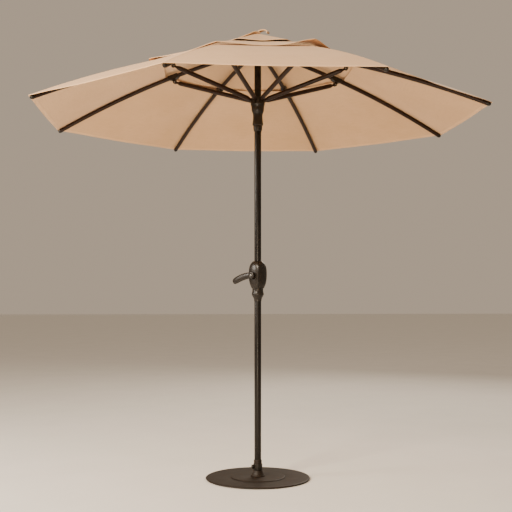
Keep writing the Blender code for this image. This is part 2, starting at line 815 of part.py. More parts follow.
def build_canopy(fabric):
    """Eight main sectors and eight vent sectors with the cap's share on each."""
    radii = spread(CANOPY_RADIUS, VENT_HOLE_RADIUS, 7)
    under = [(r, canopy_height(r)) for r in radii]
    over = [(r, z + CLOTH) for r, z in reversed(under)]
    cloth_sector("canopy", under + over, fabric)

    flap = [(r, vent_height(r)) for r in spread(VENT_EDGE_RADIUS, CROWN_RADIUS, 7)]
    cap = [(r, cap_height(r)) for r in spread(CAP_EDGE_RADIUS, CROWN_RADIUS, 4)]
    cap_over = [(r, z + CLOTH) for r, z in reversed(cap)]
    cap_under = cap[:-1] + [(CROWN_JOIN_RADIUS, cap_height(CROWN_JOIN_RADIUS))]
    join = (CROWN_JOIN_RADIUS + 0.004, vent_height(CROWN_JOIN_RADIUS) + CLOTH)
    flap_over = [(r, z + CLOTH) for r, z in reversed(flap) if r > CROWN_JOIN_RADIUS + 0.02]
    cloth_sector("vent", flap + cap_over + cap_under + [join] + flap_over, fabric)


def build_loop(fabric, foot_z):
    """The strap sewn on the crown as a carrying loop."""
    centre_x, half_span, rise = 0.028, 0.036, 0.025
    strap, half_width = 0.0025, 0.011
    foot_z += 0.002
    outer, inner = [], []
    steps = 14
    for k in range(steps + 1):
        angle = math.pi * k / steps
        c, s = math.cos(angle), math.sin(angle)
        outer.append((centre_x + half_span * c, foot_z + rise * s))
        inner.append((centre_x + (half_span - strap) * c, foot_z + strap + (rise - 2 * strap) * s))
    outline = outer + [(centre_x - half_span, foot_z)]
    loop = plate("top_loop", outline[:-1], -half_width, half_width)
    hole = plate("hole", inner, -half_width - 0.01, half_width + 0.01)
    finish(combine(loop, [hole], "DIFFERENCE"), fabric)


def main():
    """Build the whole umbrella."""
    clear_scene()
    bronze = make_material("bronze_powder_coat", (0.035, 0.027, 0.022), 0.42, 0.35)
    plastic = make_material("dark_plastic", (0.030, 0.025, 0.022), 0.48, 0.0)
    steel = make_material("plain_steel", (0.45, 0.44, 0.42), 0.35, 1.0)
    base_metal = make_material("base_powder_coat", (0.055, 0.042, 0.034), 0.55, 0.3)
    rubber = make_material("black_rubber", (0.02, 0.02, 0.02), 0.85, 0.0)
    fabric = make_material("beige_fabric", (0.62, 0.48, 0.34), 0.9, 0.0)
    cord = make_material("braided_cord", (0.04, 0.035, 0.03), 0.9, 0.0)

    build_base(base_metal, plastic, rubber, steel)
    build_pole(bronze, plastic)
    build_housing(plastic)
    build_crank(bronze, plastic, steel)
    build_runner(plastic, steel)
    crown_top = build_hub(plastic, steel, cord)
    build_ribs(bronze)
    build_struts(bronze)
    build_canopy(fabric)
    build_loop(fabric, crown_top)


main()
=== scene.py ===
"""Looks of the patio umbrella: cloth, tubes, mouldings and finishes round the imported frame.

Metres, +Z up, the pole on the Z axis. Rib 1 is the front right one, and the others follow
anticlockwise, seen from above.
"""

import json
import math
from collections import namedtuple

import bmesh
import bpy
from mathutils import Matrix, Vector, noise


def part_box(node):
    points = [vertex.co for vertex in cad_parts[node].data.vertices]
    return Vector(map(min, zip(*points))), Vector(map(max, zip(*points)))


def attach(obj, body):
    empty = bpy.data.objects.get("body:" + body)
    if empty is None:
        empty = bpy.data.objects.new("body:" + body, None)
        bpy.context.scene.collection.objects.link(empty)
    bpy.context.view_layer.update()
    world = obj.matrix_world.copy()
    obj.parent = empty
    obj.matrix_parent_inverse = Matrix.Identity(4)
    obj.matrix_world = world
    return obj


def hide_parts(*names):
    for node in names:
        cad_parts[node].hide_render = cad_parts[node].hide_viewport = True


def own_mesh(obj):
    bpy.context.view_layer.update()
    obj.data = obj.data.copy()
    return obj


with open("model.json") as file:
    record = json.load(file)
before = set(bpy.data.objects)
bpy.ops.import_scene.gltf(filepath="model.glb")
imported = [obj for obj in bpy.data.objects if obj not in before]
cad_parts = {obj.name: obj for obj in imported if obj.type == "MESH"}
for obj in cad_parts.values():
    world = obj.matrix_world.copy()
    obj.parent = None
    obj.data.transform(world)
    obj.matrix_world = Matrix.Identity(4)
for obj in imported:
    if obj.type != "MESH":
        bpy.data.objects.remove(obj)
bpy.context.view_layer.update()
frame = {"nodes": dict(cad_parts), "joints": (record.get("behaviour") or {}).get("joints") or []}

JOINTS = {joint["name"]: joint for joint in frame["joints"]}
RIB_NUMBERS = range(1, 9)
GORE = math.pi / 4
HALF_GORE = GORE / 2

# Linkage, read from the frame's joints
RIB_PIVOT = Vector(JOINTS["canopy_fold"]["pos_m"])
STRUT_PIN = Vector(JOINTS["strut_1_hinge"]["pos_m"])
RUNNER_PIVOT = Vector(JOINTS["runner_hinge"]["pos_m"])
PIVOT_RADIUS = RIB_PIVOT.xy.length
HUB_Z = RIB_PIVOT.z
RUNNER_Z = RUNNER_PIVOT.z
PIN_X = STRUT_PIN.xy.length - PIVOT_RADIUS
PIN_Z = STRUT_PIN.z - HUB_Z
LINK_LENGTH = math.hypot(PIN_X, PIN_Z)
OPEN_ANGLE = math.atan2(PIN_X, -PIN_Z)
CRANK_OUT = Vector(JOINTS["crank_turn"]["axis"]).normalized()
CRANK_CENTRE = Vector(JOINTS["crank_turn"]["pos_m"])
KNOB_OUT = Vector(JOINTS["lock_knob_turn"]["axis"]).normalized()
KNOB_CENTRE = Vector(JOINTS["lock_knob_turn"]["pos_m"])

# Ribs, struts and cloth, with the frame's own driving sizes
RIB_REACH = 1.230
RIB_DROP = 0.383
RIB_BOW = 0.042
RIB_RADIUS = 0.0115
STRUT_RADIUS = 0.0125
CANOPY_RADIUS = 1.270
CLOTH_LIFT = RIB_RADIUS + 0.0025
VENT_HOLE_RADIUS = 0.560
VENT_EDGE_RADIUS = 0.640
CAP_EDGE_RADIUS = 0.335
CROWN_RADIUS = 0.046
CROWN_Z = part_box("crown_cap")[1].z
POLE_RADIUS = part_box("lower_pole")[1].x

# Walls, gaps and pressed ends
POLE_WALL = 0.0015
RUNNING_GAP = 0.0005
SNUG_GAP = 0.0003
SLOT_HALF = 0.0031
EYE_RADIUS = 0.0058
PRESSED_HALF = 0.0024
PRESSED_LENGTH = 0.012
FLARE_LENGTH = 0.024
PRESSED_STATIONS = (-0.0056, -0.004, -0.002, 0.0, 0.006, 0.012, 0.016, 0.020, 0.024, 0.028, 0.032, 0.036)


def rib_azimuth(number):
    """Direction of a rib from the pole."""
    return math.radians(-67.5) + GORE * (number - 1)


# Node materials -------------------------------------------------------------------------------


class Nodes:
    """A material under construction: short ways to add and link nodes."""

    def __init__(self, name, roughness=0.5, metallic=0.0):
        self.material = bpy.data.materials.new(name)
        self.material.use_nodes = True
        self.tree = self.material.node_tree
        self.shader = self.tree.nodes["Principled BSDF"]
        self.shader.inputs["Roughness"].default_value = roughness
        self.shader.inputs["Metallic"].default_value = metallic

    def add(self, kind, **settings):
        """Add a node and set its properties."""
        node = self.tree.nodes.new(kind)
        for key, value in settings.items():
            setattr(node, key, value)
        return node

    def feed(self, node, socket, value):
        """Give an input a constant, or link it to an output."""
        target = node.inputs[socket]
        if isinstance(value, bpy.types.NodeSocket):
            self.tree.links.new(value, target)
        else:
            target.default_value = value

    def place(self, source="Object"):
        """Texture coordinates."""
        return self.add("ShaderNodeTexCoord").outputs[source]

    def stretch(self, vector, scale):
        """Coordinates scaled on each axis."""
        node = self.add("ShaderNodeMapping")
        self.feed(node, "Vector", vector)
        node.inputs["Scale"].default_value = scale
        return node.outputs["Vector"]

    def speckle(self, vector, scale, detail=2.0, roughness=0.5):
        """Noise from 0 to 1."""
        node = self.add("ShaderNodeTexNoise")
        self.feed(node, "Vector", vector)
        node.inputs["Scale"].default_value = scale
        node.inputs["Detail"].default_value = detail
        node.inputs["Roughness"].default_value = roughness
        return node.outputs["Fac"]

    def calc(self, kind, a, b=0.0, c=0.0):
        """A Math node."""
        node = self.add("ShaderNodeMath", operation=kind)
        for index, value in enumerate((a, b, c)):
            self.feed(node, index, value)
        return node.outputs[0]

    def span(self, value, low, high, to_low=0.0, to_high=1.0):
        """Map a range of values onto another."""
        node = self.add("ShaderNodeMapRange")
        self.feed(node, "Value", value)
        for socket, number in zip(
            ("From Min", "From Max", "To Min", "To Max"), (low, high, to_low, to_high)
        ):
            node.inputs[socket].default_value = number
        return node.outputs["Result"]

    def blend(self, share, first, second):
        """Mix two colours."""
        node = self.add("ShaderNodeMix", data_type="RGBA")
        self.feed(node, "Factor", share)
        for index, colour in ((6, first), (7, second)):
            value = colour
            if not isinstance(colour, bpy.types.NodeSocket):
                value = (*colour, 1)
            self.feed(node, index, value)
        return node.outputs[2]

    def bump(self, height, distance, strength=1.0, below=None):
        """Surface relief, in metres at full height."""
        node = self.add("ShaderNodeBump")
        self.feed(node, "Height", height)
        node.inputs["Distance"].default_value = distance
        node.inputs["Strength"].default_value = strength
        if below is not None:
            self.feed(node, "Normal", below)
        return node.outputs["Normal"]

    def finish(self, colour=None, roughness=None, normal=None):
        """Link what was made to the shader."""
        for socket, value in (("Base Color", colour), ("Roughness", roughness), ("Normal", normal)):
            if value is not None:
                self.feed(self.shader, socket, value)
        return self.material


def powder_coat(name, base, worn, roughness, grain=420, relief=0.00002):
    """Painted metal: a fine orange peel, soft cloudy tone, and a few rubbed places."""
    m = Nodes(name, roughness)
    m.shader.inputs["Specular IOR Level"].default_value = 0.24
    here = m.place()
    cloud = m.speckle(here, 9, 4)
    rub = m.span(m.speckle(m.stretch(here, (1, 1, 0.25)), 38, 5, 0.6), 0.60, 0.74)
    tone = m.blend(m.span(cloud, 0.3, 0.7), base, [c * 1.35 for c in base])
    colour = m.blend(m.calc("MULTIPLY", rub, 0.25), tone, worn)
    peel = m.speckle(here, grain, 3)
    gloss = m.calc("ADD", m.span(cloud, 0.3, 0.7, -0.05, 0.06), roughness)
    gloss = m.calc("ADD", gloss, m.calc("MULTIPLY", rub, 0.06))
    return m.finish(colour, gloss, m.bump(peel, relief, 0.35))


def moulding(name, base, roughness):
    """Moulded plastic: a fine spark-eroded grain with slight handling shine."""
    m = Nodes(name, roughness)
    m.shader.inputs["Specular IOR Level"].default_value = 0.3
    here = m.place()
    cloud = m.speckle(here, 24, 3)
    grain = m.speckle(here, 1400, 2)
    handled = m.span(m.speckle(here, 13, 2), 0.45, 0.7)
    colour = m.blend(m.span(cloud, 0.35, 0.65), base, [c * 1.4 for c in base])
    gloss = m.calc("ADD", m.span(grain, 0.3, 0.7, -0.04, 0.05), roughness)
    gloss = m.calc("SUBTRACT", gloss, m.calc("MULTIPLY", handled, 0.04))
    return m.finish(colour, gloss, m.bump(grain, 0.000012, 0.4))


def plated_steel(name):
    """Zinc-plated steel, turned or drawn, with faint blotches."""
    m = Nodes(name, 0.32, 1.0)
    here = m.place()
    blotch = m.speckle(here, 60, 4)
    lines = m.speckle(m.stretch(here, (1, 1, 30)), 160, 2)
    colour = m.blend(m.span(blotch, 0.35, 0.65), (0.15, 0.14, 0.13), (0.26, 0.25, 0.23))
    gloss = m.span(blotch, 0.3, 0.7, 0.26, 0.42)
    return m.finish(colour, gloss, m.bump(lines, 0.00003, 0.4))


def rubber_skin(name):
    """Black rubber with a dusty bloom."""
    m = Nodes(name, 0.85)
    here = m.place()
    dust = m.span(m.speckle(here, 30, 5), 0.5, 0.75)
    colour = m.blend(dust, (0.018, 0.018, 0.018), (0.07, 0.062, 0.055))
    return m.finish(colour, None, m.bump(m.speckle(here, 500), 0.0001, 0.5))


def canvas(name, base, pale, dark, seams=True):
    """Woven polyester. The UV map holds metres across and along the cloth."""
    m = Nodes(name, 0.88)
    m.shader.inputs["Sheen Weight"].default_value = 0.18
    m.shader.inputs["Sheen Roughness"].default_value = 0.5
    m.shader.inputs["Specular IOR Level"].default_value = 0.25
    here = m.place("UV")
    parts = m.add("ShaderNodeSeparateXYZ")
    m.feed(parts, 0, here)
    across, along = parts.outputs[0], parts.outputs[1]

    thread = 0.0011
    turn = 2 * math.pi / thread
    warp = m.calc("SINE", m.calc("MULTIPLY", across, turn))
    weft = m.calc("SINE", m.calc("MULTIPLY", along, turn))
    plain = m.calc("MULTIPLY", warp, weft)
    weave = m.span(plain, -1, 1)

    slub_weft = m.speckle(m.stretch(here, (9, 420, 1)), 1.0, 3, 0.6)
    slub_warp = m.speckle(m.stretch(here, (420, 9, 1)), 1.0, 3, 0.6)
    slub = m.calc("ADD", m.calc("MULTIPLY", slub_weft, 0.65), m.calc("MULTIPLY", slub_warp, 0.35))
    cloud = m.speckle(m.place(), 3.2, 4, 0.55)
    colour = m.blend(m.span(cloud, 0.32, 0.68), base, pale)
    colour = m.blend(m.span(slub, 0.42, 0.66, 0.0, 0.38), colour, dark)
    colour = m.blend(m.span(weave, 0, 1, 0.16, 0.0), colour, dark)

    relief = m.calc("ADD", m.calc("MULTIPLY", weave, 0.6), m.calc("MULTIPLY", slub, 0.8))
    normal = m.bump(relief, 0.00025, 0.5)
    ripple = m.speckle(m.stretch(here, (5, 1.6, 1)), 1.0, 2)
    if seams:
        # Twin rows of stitches beside the seam over the rib, and painted shade in the seam and along its
        # fold lines
        off = m.calc("ABSOLUTE", across)
        row = m.calc("ABSOLUTE", m.calc("SUBTRACT", off, 0.0048))
        on_row = m.calc("LESS_THAN", row, 0.0006)
        dash = m.calc("LESS_THAN", m.calc("FRACT", m.calc("MULTIPLY", along, 1 / 0.0042)), 0.7)
        stitch = m.calc("MULTIPLY", on_row, dash)
        # Painted shade: a dark band over the rib's seam, and a dark line along each fold beside it
        seam_shade = m.span(off, 0.0, 0.0042, 0.90, 0.0)
        fold_shade = m.calc("LESS_THAN", m.calc("ABSOLUTE", m.calc("SUBTRACT", off, 0.0078)), 0.0007)
        # A painted highlight: the band along the hem is made paler
        hem = m.span(along, 0.0190, 0.0215, 0.30, 0.0)
        colour = m.blend(hem, colour, [min(1, c * 1.2) for c in pale])
        colour = m.blend(m.calc("MULTIPLY", stitch, 0.6), colour, [min(1, c * 1.25) for c in pale])
        colour = m.blend(m.calc("MAXIMUM", seam_shade, m.calc("MULTIPLY", fold_shade, 0.5)), colour, dark)
        normal = m.bump(stitch, 0.0004, 0.6, normal)
    normal = m.bump(ripple, 0.004, 0.35, normal)
    return m.finish(colour, m.span(slub, 0.3, 0.7, 0.82, 0.94), normal)


def braid(name):
    """Braided cord."""
    m = Nodes(name, 0.85)
    here = m.stretch(m.place(), (1, 1, 0.6))
    strands = m.add("ShaderNodeTexWave", bands_direction="DIAGONAL")
    m.feed(strands, "Vector", here)
    strands.inputs["Scale"].default_value = 260
    colour = m.blend(strands.outputs["Fac"], (0.02, 0.018, 0.016), (0.07, 0.062, 0.055))
    return m.finish(colour, None, m.bump(strands.outputs["Fac"], 0.0004))


def soft_floor(name):
    """A plain pale floor."""
    m = Nodes(name, 0.7)
    tone = m.speckle(m.place(), 2.5, 3)
    return m.finish(m.blend(m.span(tone, 0.3, 0.7), (0.80, 0.77, 0.73), (0.83, 0.80, 0.76)))


# Meshes ---------------------------------------------------------------------------------------


def new_object(name, points, faces, material, sharp=32, uvs=None):
    """A mesh object with consistent outward normals and smooth shading."""
    mesh = bpy.data.meshes.new(name)
    mesh.from_pydata([tuple(p) for p in points], [], faces)
    if uvs:
        layer = mesh.uv_layers.new(name="UVMap")
        for loop in mesh.loops:
            layer.data[loop.index].uv = uvs[loop.vertex_index]
    work = bmesh.new()
    work.from_mesh(mesh)
    bmesh.ops.recalc_face_normals(work, faces=work.faces)
    work.to_mesh(mesh)
    work.free()
    mesh.materials.append(material)
    mesh.shade_smooth()
    mesh.set_sharp_from_angle(angle=math.radians(sharp))
    obj = bpy.data.objects.new(name, mesh)
    bpy.context.scene.collection.objects.link(obj)
    return obj


def loft(name, rings, material, closed=False, sharp=32):
    """Skin rings with equal counts of points; an open row is capped at both ends."""
    count = len(rings[0])
    points = [p for ring in rings for p in ring]
    faces = []
    for k in range(len(rings) if closed else len(rings) - 1):
        here, there = k * count, (k + 1) % len(rings) * count
        for i in range(count):
            j = (i + 1) % count
            faces.append((here + i, here + j, there + j, there + i))
    if not closed:
        faces.append(tuple(range(count)))
        faces.append(tuple(range(len(points) - count, len(points))))
    return new_object(name, points, faces, material, sharp)


def circle(centre, direction, radius, steps=24):
    """A ring round a direction."""
    turn = Vector(direction).to_track_quat("Z", "Y")
    ring = []
    for k in range(steps):
        angle = 2 * math.pi * k / steps
        spoke = Vector((radius * math.cos(angle), radius * math.sin(angle), 0))
        ring.append(Vector(centre) + turn @ spoke)
    return ring


def rounded(profile, radius, steps=3):
    """Round the corners of a closed (r, z) outline with short arcs."""
    out = []
    count = len(profile)
    for k in range(count):
        here = Vector(profile[k])
        before, after = Vector(profile[k - 1]) - here, Vector(profile[(k + 1) % count]) - here
        reach = min(radius, before.length * 0.45, after.length * 0.45)
        start, end = here + before.normalized() * reach, here + after.normalized() * reach
        for i in range(steps + 1):
            t = i / steps
            out.append(start * (1 - t) ** 2 + here * 2 * t * (1 - t) + end * t**2)
    return out


def turned(name, profile, material, steps=72, corner=0.0008, sharp=40):
    """A ring-shaped solid of revolution about Z from a closed (r, z) outline, with eased corners."""
    outline = rounded(profile, corner) if corner else [Vector(p) for p in profile]
    rings = []
    for k in range(steps):
        angle = 2 * math.pi * k / steps
        rings.append([(p.x * math.cos(angle), p.x * math.sin(angle), p.y) for p in outline])
    return loft(name, rings, material, closed=True, sharp=sharp)


def rod(name, start, end, radius, material, steps=24):
    """A rod with a small chamfer at each end."""
    start, end = Vector(start), Vector(end)
    way = (end - start).normalized()
    chamfer = min(radius * 0.25, 0.0008)
    stations = [(0, radius - chamfer), (chamfer, radius), (-chamfer, radius), (0, radius - chamfer)]
    anchors = (start, start, end, end)
    rings = []
    for anchor, (shift, size) in zip(anchors, stations):
        rings.append(circle(anchor + way * shift, way, size, steps))
    return loft(name, rings, material)


def smooth_line(points, count):
    """Points evenly spread along a smooth curve through the given ones."""
    out = []
    last = len(points) - 1
    for k in range(count):
        t = k / (count - 1) * last
        i = min(int(t), last - 1)
        u = t - i
        ctrl = [Vector(points[min(max(i + d, 0), last)]) for d in (-1, 0, 1, 2)]
        a, b, c, d = ctrl
        out.append(
            0.5 * (2 * b + (c - a) * u + (2 * a - 5 * b + 4 * c - d) * u**2
                   + (3 * b - a - 3 * c + d) * u**3)
        )
    return out


def carve(obj, cutters, operation="DIFFERENCE", sharp=32):
    """Cut or join obj with other solids, which are used up."""
    for cutter in cutters:
        modifier = obj.modifiers.new("cut", "BOOLEAN")
        modifier.object = cutter
        modifier.operation = operation
        modifier.solver = "EXACT"
    return settle(obj, cutters, sharp)


def settle(obj, used=(), sharp=32):
    """Apply the modifiers and shade the result."""
    bpy.context.view_layer.update()
    seen = obj.evaluated_get(bpy.context.evaluated_depsgraph_get())
    mesh = bpy.data.meshes.new_from_object(seen)
    obj.modifiers.clear()
    obj.data = mesh
    for other in used:
        bpy.data.objects.remove(other, do_unlink=True)
    mesh.shade_smooth()
    mesh.set_sharp_from_angle(angle=math.radians(sharp))
    return obj


def soften(obj, width, segments=2, limit=30, sharp=32):
    """Bevel the edges that turn more than limit degrees."""
    modifier = obj.modifiers.new("ease", "BEVEL")
    modifier.width = width
    modifier.segments = segments
    modifier.angle_limit = math.radians(limit)
    return settle(obj, sharp=sharp)


def transform(obj, matrix):
    """Move the mesh itself."""
    obj.data.transform(matrix)
    return obj


def to_rib(obj, number):
    """Take a piece made in the X-Z plane to its rib's place."""
    return transform(obj, Matrix.Rotation(rib_azimuth(number), 4, "Z"))


def show(obj, body, slot, *stands_for):
    """Say what the piece rides on and the CAD nodes that it stands for, which are hidden. The slot
    argument, the name of its finish, is not used.
    """
    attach(obj, body)
    if stands_for:
        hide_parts(*stands_for)
    return obj


# Cloth ----------------------------------------------------------------------------------------

SEAM_HALF = 0.0085
SEAM_FOLD = 0.0078
CLOTH_THICKNESS = 0.0009
# A folded edge stands this much further out, above and below
FOLD_ABOVE = 0.0007
FOLD_BELOW = 0.0004
# Unevenness of the cloth between its ribs
WAVER = 0.0016
CAP_DROP = 0.023
CROWN_RISE = 0.078
# How far each rib's corner of the vent flap has lifted
CORNER_LIFT = {1: 0.026, 2: 0.004, 3: 0.007, 4: 0.010, 5: 0.006, 6: 0.008, 7: 0.003, 8: 0.005}

# outer and inner radius, height(radius) over a rib, sag of a gore's middle at the edge,
# lift(radius, share) of the cloth, width of the hem, and rows of faces
Cut = namedtuple("Cut", "outer inner height sag lift hem rows")


def rib_height(x):
    """Height of the bowed rib's centre line over its pivot, at a distance out from it."""
    share = x / RIB_REACH
    return -RIB_DROP * share + 4 * RIB_BOW * share * (1 - share)


def rib_slope(x):
    """Slope of the rib's centre line."""
    return (-RIB_DROP + 4 * RIB_BOW * (1 - 2 * x / RIB_REACH)) / RIB_REACH


def main_height(radius):
    """Underside of the main cloth over a rib."""
    return HUB_Z + rib_height(radius - PIVOT_RADIUS) + CLOTH_LIFT


def vent_height(radius):
    """Underside of the vent flap over a rib."""
    edge = main_height(VENT_EDGE_RADIUS) + 0.012
    share = (VENT_EDGE_RADIUS - radius) / (VENT_EDGE_RADIUS - CROWN_RADIUS)
    rise = HUB_Z + 0.025 - edge
    return edge + rise * share * (1.35 - 0.35 * share) + 0.045 * share**8


def cap_height(radius):
    """Underside of the top cap over a rib."""
    share = (CAP_EDGE_RADIUS - radius) / (CAP_EDGE_RADIUS - CROWN_RADIUS)
    return HUB_Z - CAP_DROP + (CAP_DROP + CROWN_RISE) * share


def band(distance, width, fade=0.0015):
    """1 within a band from an edge, falling to 0 at its width."""
    return min(1.0, max(0.0, (width - distance) / fade))


def cloth_rows(cut):
    """Radii of the rows of a cloth, from its edge inwards, with more of them at its hems."""
    radii = []
    for k in range(cut.rows + 1):
        radii.append(cut.outer + (cut.inner - cut.outer) * k / cut.rows)
    hem_line = cut.outer - cut.hem
    radii += [cut.outer - 0.001, hem_line + 0.001, hem_line - 0.001, cut.inner + 0.010]
    return sorted(radii, reverse=True)


def cloth_columns(width, columns=11):
    """Shares of the way from the rib to the gore's middle, to both sides, with more at the seam."""
    seam = SEAM_HALF / width
    shares = [0.0, seam * 0.75, seam * 0.95]
    for k in range(columns + 1):
        shares.append(seam + (1 - seam) * (k / columns))
    return [-share for share in reversed(shares[1:])] + shares


def cloth_point(azimuth, radius, share, cut):
    """A point of the cloth's underside, share of the way to the gore's middle on one side."""
    side = abs(share)
    direction = azimuth + math.copysign(HALF_GORE, share)
    rib_point = Vector((math.cos(azimuth), math.sin(azimuth), 0)) * radius
    mid_point = Vector((math.cos(direction), math.sin(direction), 0)) * radius * math.cos(HALF_GORE)
    point = rib_point.lerp(mid_point, side)
    hang = cut.sag * (radius / cut.outer) ** 1.5 * math.sin(side * math.pi / 2) ** 2
    waver = noise.noise(Vector((point.x * 6, point.y * 6, 1.7 + cut.outer)))
    away = min(1.0, side * 3) * min(1.0, (1 - side) * 4 + 0.25)
    point.z = cut.height(radius)
    point.z += cut.lift(radius, share) - hang + waver * WAVER * away
    return point


def sheet_faces(rows, across):
    """Faces of a closed sheet: a grid of tops, the same grid of bottoms, and the rim."""
    size = rows * across
    faces = []
    for i in range(rows - 1):
        for j in range(across - 1):
            a, b = i * across + j, i * across + j + 1
            c, d = b + across, a + across
            faces.append((a, b, c, d))
            faces.append((size + d, size + c, size + b, size + a))
    rim = list(range(across))
    rim += [i * across + across - 1 for i in range(1, rows)]
    rim += [(rows - 1) * across + j for j in range(across - 2, -1, -1)]
    rim += [i * across for i in range(rows - 2, 0, -1)]
    for a, b in zip(rim, rim[1:] + rim[:1]):
        faces.append((a, b, size + b, size + a))
    return faces


def cloth_sector(name, number, material, cut):
    """One rib's share of a cloth, from the middle of one gore to the middle of the next.

    Returns the object and its flat area.
    """
    azimuth = rib_azimuth(number)
    tops, bottoms, uvs = [], [], []
    travelled = 0.0
    area = 0.0
    before = None
    radii = cloth_rows(cut)
    for radius in radii:
        z = cut.height(radius)
        if before:
            step = math.hypot(before[0] - radius, before[1] - z)
            travelled += step
            area += step * (before[0] + radius) * math.sin(HALF_GORE)
        before = (radius, z)
        width = radius * math.sin(HALF_GORE)
        shares = cloth_columns(width)
        for share in shares:
            point = cloth_point(azimuth, radius, share, cut)
            folded = max(
                band(cut.outer - radius, cut.hem),
                band(radius - cut.inner, 0.008),
                band(abs(share) * width, SEAM_FOLD),
            )
            top, bottom = point.copy(), point.copy()
            top.z += CLOTH_THICKNESS + FOLD_ABOVE * folded
            bottom.z -= FOLD_BELOW * folded
            tops.append(top)
            bottoms.append(bottom)
            uvs.append((share * width, travelled))
    faces = sheet_faces(len(radii), len(shares))
    return new_object(name, tops + bottoms, faces, material, 50, uvs + uvs), area


def fold_cloth(obj, number, body_node):
    show(obj, f"rib_{number}", "canopy_fabric", body_node)
    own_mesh(obj)


def no_lift(radius, share):
    """The main cloth lies where its ribs hold it."""
    return 0.0


def cap_lift(radius, share):
    """The cap's corners stand a little off the flap under them."""
    return 0.002 * (radius / CAP_EDGE_RADIUS) ** 2 * (1 - share**2)


def build_canopy(cloth):
    """Main cloth, vent flap and top cap, each in eight shares that meet in the middle of the gores."""
    for number in RIB_NUMBERS:
        raised = CORNER_LIFT[number]

        def flap_lift(radius, share):
            near_edge = max(0.0, (radius - 0.50) / (VENT_EDGE_RADIUS - 0.50))
            return raised * near_edge**2 * math.exp(-((share / 0.42) ** 2))

        main = Cut(CANOPY_RADIUS, VENT_HOLE_RADIUS, main_height, 0.005, no_lift, 0.022, 26)
        flap = Cut(VENT_EDGE_RADIUS, CROWN_RADIUS, vent_height, 0.009, flap_lift, 0.015, 20)
        cap = Cut(CAP_EDGE_RADIUS, CROWN_RADIUS, cap_height, 0.006, cap_lift, 0.012, 14)
        sheets = (
            ("cloth", main, 0.110, "canopy"),
            ("vent_flap", flap, 0.19, "vent"),
            ("vent_cap", cap, 0.27, "vent"),
        )
        for name, cut, keep, node in sheets:
            obj, area = cloth_sector(f"{name}_{number}", number, cloth, cut)
            rise = cut.height(cut.inner) - cut.height(cut.outer)
            fold_cloth(obj, number, f"{node}_{number}")


def build_button(cloth):
    """The round button on the crown."""
    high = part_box("crown_cap")[1]
    radius = high.x
    foot = high.z - 0.0085
    outline = [(0.0001, foot + 0.0002), (radius, foot + 0.0002), (radius + 0.0005, foot + 0.003)]
    outline += [(radius * 0.86, foot + 0.0062), (radius * 0.4, foot + 0.0083), (0.0001, foot + 0.0086)]
    button = turned("crown_button", outline, cloth, corner=0.0015)
    show(button, "stand", "canopy_fabric", "crown_cap")


def build_loop(cloth):
    """The strap loop sewn on the crown, a little twisted."""
    low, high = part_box("top_loop")
    middle = (low.x + high.x) / 2
    half = (high.x - low.x) / 2
    rise = high.z - low.z
    thick = 0.0062
    rings = []
    steps = 46
    for k in range(steps):
        angle = -0.10 * math.pi + 1.2 * math.pi * k / (steps - 1)
        squeeze = 1 - 0.22 * max(0.0, -math.sin(angle))
        centre = Vector((middle + (half - thick / 2) * math.cos(angle) * squeeze, 0, 0))
        centre.z = low.z + 0.004 + (rise - 0.0045) * max(math.sin(angle), -0.08)
        centre.x += 0.004 * math.sin(angle) ** 2
        outward = Vector((math.cos(angle), 0, math.sin(angle)))
        lean = 0.0035 * math.sin(angle * 2)
        wide = 0.0120 + 0.0008 * math.cos(angle * 3)
        ring = []
        for a, b in ((-1, -1), (1, -1), (1, 1), (-1, 1)):
            corner = centre + outward * (thick / 2 * b)
            corner.y = a * wide + lean
            ring.append(corner)
        rings.append(ring)
    loop = soften(loft("crown_loop", rings, cloth, sharp=60), 0.0006, sharp=60)
    twist = Matrix.Translation((middle, 0, 0)) @ Matrix.Rotation(math.radians(-36), 4, "Z")
    transform(loop, twist @ Matrix.Translation((-middle, 0, 0)))
    show(loop, "stand", "canopy_fabric", "top_loop")


def build_tail(cloth):
    """The strap's tail, which lies on the cap to the left of the loop."""
    top = CROWN_Z
    path = [(0.010, -0.002, 0.003), (-0.010, -0.008, 0.009), (-0.030, -0.014, 0.005)]
    for out in (0.050, 0.070, 0.090, 0.108):
        path.append((-out, -0.016 - 0.1 * out, cap_height(out) + CLOTH_THICKNESS + 0.0035 - top))
    rings = []
    line = smooth_line(path, 26)
    for k, point in enumerate(line):
        way = (line[min(k + 1, 25)] - line[max(k - 1, 0)]).normalized()
        roll = math.radians(38 - 50 * k / 25)
        side = Matrix.Rotation(roll, 3, way) @ Vector((0, 1, 0)).cross(way).cross(way).normalized()
        up = side.cross(way).normalized()
        centre = point + Vector((0, 0, top))
        wide, deep = 0.0125 + 0.0015 * math.sin(k * 0.5), 0.0024
        corners = ((-1, -1), (1, -1), (1, 1), (-1, 1))
        rings.append([centre + side * wide * a + up * deep * b for a, b in corners])
    tail = soften(loft("crown_tail", rings, cloth, sharp=60), 0.0006, sharp=60)
    show(tail, "stand", "canopy_fabric")


# Ribs and struts ------------------------------------------------------------------------------


def crimped(stations, steps=20):
    """Rings of a tube whose ends are pressed flat.

    Each station is (centre, direction, half height, half width).
    """
    rings = []
    for centre, direction, tall, wide in stations:
        forward = Vector(direction).normalized()
        up = Vector((0, 1, 0)).cross(forward)
        if up.z < 0:
            up.negate()
        ring = []
        square = 2 + 3 * max(0.0, 1 - wide / tall)
        for k in range(steps):
            angle = 2 * math.pi * k / steps
            c, s = math.cos(angle), math.sin(angle)
            reach = (abs(c) ** square + abs(s) ** square) ** (-1 / square)
            ring.append(Vector(centre) + up * tall * reach * s + Vector((0, wide * reach * c, 0)))
        rings.append(ring)
    return rings


def ease(t):
    """Smooth step from 0 to 1."""
    t = min(1.0, max(0.0, t))
    return t * t * (3 - 2 * t)


